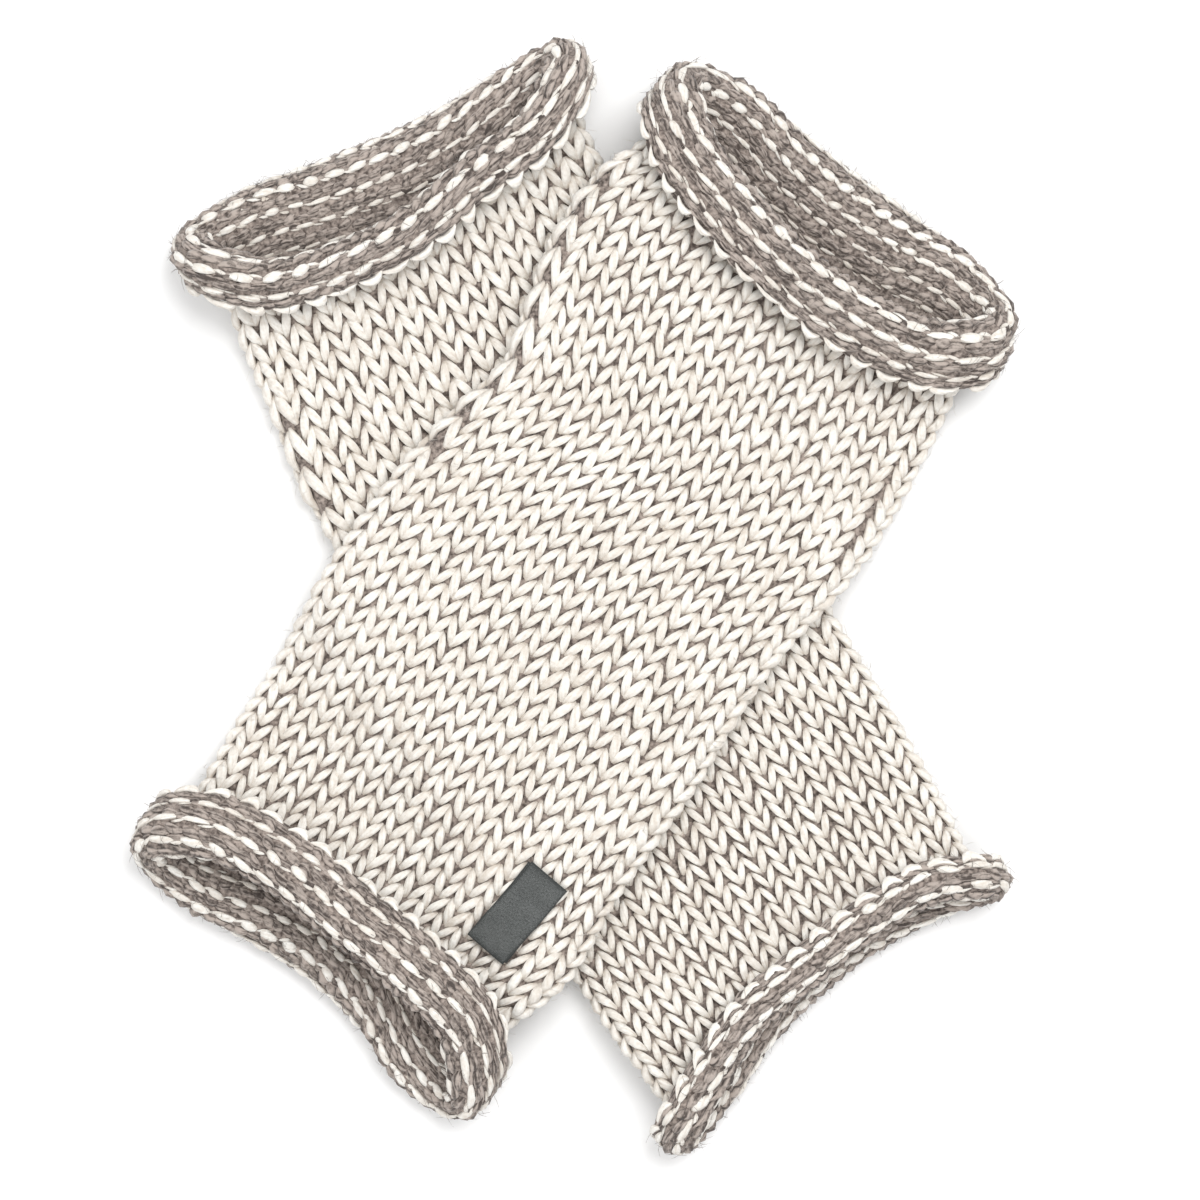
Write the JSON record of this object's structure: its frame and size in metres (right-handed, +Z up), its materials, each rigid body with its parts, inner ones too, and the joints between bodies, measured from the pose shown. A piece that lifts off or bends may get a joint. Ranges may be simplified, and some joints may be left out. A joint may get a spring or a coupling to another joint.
{
  "type": "pair of fingerless knitted gloves (wrist warmers)",
  "caption": "Pair of chunky knitted fingerless gloves, plain tubes with rolled ends, laid flat and crossed, with a folded label.",
  "frame": {"origin": "middle of the crossed pair's bounding box, on the surface it lies on", "axes": "+Z up out of that surface, towards the gloves' fronts; +Y the way both gloves' top ends point, halfway between them; +X to the right seen from above"},
  "size_m": [0.195, 0.247, 0.0274],
  "materials": {
    "cream_knit": "matte",
    "grey_tape": "matte"
  },
  "bodies": {
    "root": {"lower_glove_tube": "cream_knit", "upper_glove_tube": "cream_knit", "woven_label": "grey_tape"}
  },
  "joints": []
}
